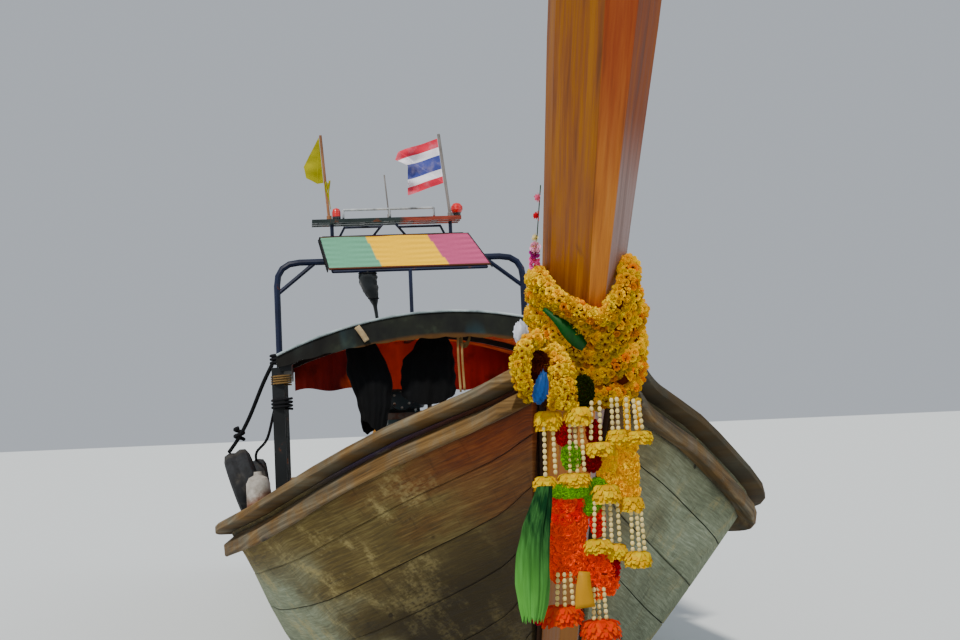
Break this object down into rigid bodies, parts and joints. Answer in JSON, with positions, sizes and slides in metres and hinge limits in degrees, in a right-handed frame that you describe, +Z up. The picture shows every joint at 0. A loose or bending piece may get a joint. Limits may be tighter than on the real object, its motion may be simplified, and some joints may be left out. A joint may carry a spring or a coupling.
{
  "type": "longtail boat",
  "caption": "Open wooden longtail boat with a high raked stem, flower garlands, canopy, steersman's arch with lamp rack, and a swivelling engine with a long propeller tail.",
  "frame": {"origin": "on the waterline, on the centreline, amidships", "axes": "+Z up, -Y towards the bow and +Y towards the tail, -X to starboard and +X to port"},
  "size_m": [2.4044, 14.6518, 3.8824],
  "materials": {
    "stem_wood": "worn varnish",
    "bow_planks": "weathered, reddish brown",
    "weathered_wood": "weathered, grey-green",
    "gunwale_wood": "worn",
    "deck_wood": "worn",
    "green_canvas": "faded, matt",
    "orange_cloth": "matt",
    "awning_cloth": "faded, matt",
    "dark_steel": "satin",
    "red_glass": "gloss",
    "yellow_cloth": "matt",
    "flag_cloth": "matt",
    "black_rubber": "matt",
    "black_cloth": "matt",
    "float_plastic": "matt",
    "marigold": "matt",
    "green_tulle": "sheer",
    "engine_paint": "painted, oily",
    "rusty_steel": "rusty",
    "bronze": "polished edges",
    "aluminium": "dull"
  },
  "bodies": {
    "hull": {"stem_post": "stem_wood", "keel": "weathered_wood", "transom": "weathered_wood", "strake_1_port": "weathered_wood", "strake_2_port": "weathered_wood", "strake_3_port": "weathered_wood", "strake_4_port": "weathered_wood", "strake_5_port": "bow_planks", "wale_port": "gunwale_wood", "gunwale_cap_port": "gunwale_wood", "strake_1_starboard": "weathered_wood", "strake_2_starboard": "weathered_wood", "strake_3_starboard": "weathered_wood", "strake_4_starboard": "weathered_wood", "strake_5_starboard": "bow_planks", "wale_starboard": "gunwale_wood", "gunwale_cap_starboard": "gunwale_wood", "frames_fore": "weathered_wood", "frames_mid": "weathered_wood", "frames_aft": "weathered_wood", "floorboards": "deck_wood", "foredeck": "deck_wood", "aft_deck": "deck_wood", "seat_1": "deck_wood", "seat_2": "deck_wood", "seat_3": "deck_wood", "seat_4": "deck_wood", "seat_5": "deck_wood", "canopy_frame": "dark_steel", "canopy_cover": "green_canvas", "canopy_curtain": "orange_cloth", "driver_frame": "dark_steel", "awning_panel": "awning_cloth", "lamp_rack": "dark_steel", "flagpole_starboard": "rusty_steel", "flagpole_port": "aluminium", "aerial": "aluminium", "pennant": "yellow_cloth", "national_flag": "flag_cloth", "lamp_starboard": "red_glass", "lamp_port": "red_glass", "tyre_fender_1": "black_rubber", "tyre_fender_2": "black_rubber", "net_float": "float_plastic", "hanging_cloth_starboard": "black_cloth", "hanging_cloth_port": "black_cloth", "garland_wrap": "marigold", "garland_tassels": "marigold", "tulle_tail": "green_tulle", "swivel_post": "rusty_steel"},
    "swivel": {"swivel_yoke": "rusty_steel"},
    "tail": {"engine_cradle": "rusty_steel", "engine": "engine_paint", "exhaust": "rusty_steel", "intake": "aluminium", "tail_tube": "rusty_steel", "tail_fin": "rusty_steel", "tiller": "dark_steel"},
    "propeller": {"propeller": "bronze"}
  },
  "joints": [
    {"name": "tail_yaw", "type": "hinge", "parent": "hull", "child": "swivel", "pos_m": [0, 4.55, 1.27], "axis": [0, 0, 1], "range_deg": [-35, 35]},
    {"name": "tail_tilt", "type": "hinge", "parent": "swivel", "child": "tail", "pos_m": [0, 4.55, 1.27], "axis": [1, 0, 0], "range_deg": [-22, 8]},
    {"name": "propeller_spin", "type": "hinge", "parent": "tail", "child": "propeller", "pos_m": [0, 4.55429, 1.35189], "axis": [0, 0.9986, -0.0523], "continuous": true}
  ]
}
